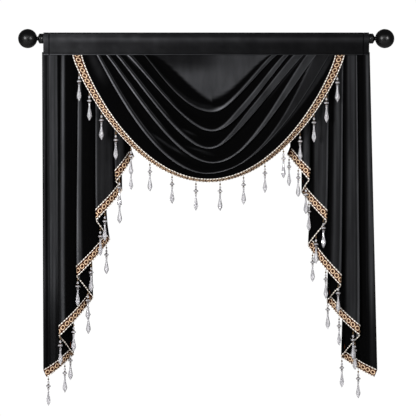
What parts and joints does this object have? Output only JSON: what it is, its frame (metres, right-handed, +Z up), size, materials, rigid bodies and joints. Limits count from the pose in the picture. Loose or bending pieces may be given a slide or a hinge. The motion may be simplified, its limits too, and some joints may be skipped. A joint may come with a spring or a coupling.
{
  "type": "beaded window valance on a curtain rod",
  "caption": "Draped swag between two pleated cascades, hung by a flat pocket header from a rod with ball ends, every lower edge trimmed with braid and bead drops.",
  "frame": {"origin": "middle of the rod's axis, halfway along the header", "axes": "+X along the rod, towards the right seen from the room; +Z up; the front of the valance faces -Y"},
  "size_m": [1.3848, 0.1597, 1.3838],
  "materials": {
    "rod": "gloss black",
    "finial": "gloss black",
    "header": "stiffened black velvet, pile laid flat",
    "swag": "soft black velvet with a faint sheen on the folds",
    "cascade": "soft black velvet with a faint sheen on the folds",
    "trim": "gold and brown ring braid with cream cords, and clear glass bead drops"
  },
  "bodies": {
    "root": {"rod": "rod", "finial_left": "finial", "finial_right": "finial", "header": "header", "swag": "swag", "cascade_left": "cascade", "cascade_right": "cascade", "trim_swag": "trim", "trim_left": "trim", "trim_right": "trim"}
  },
  "joints": []
}
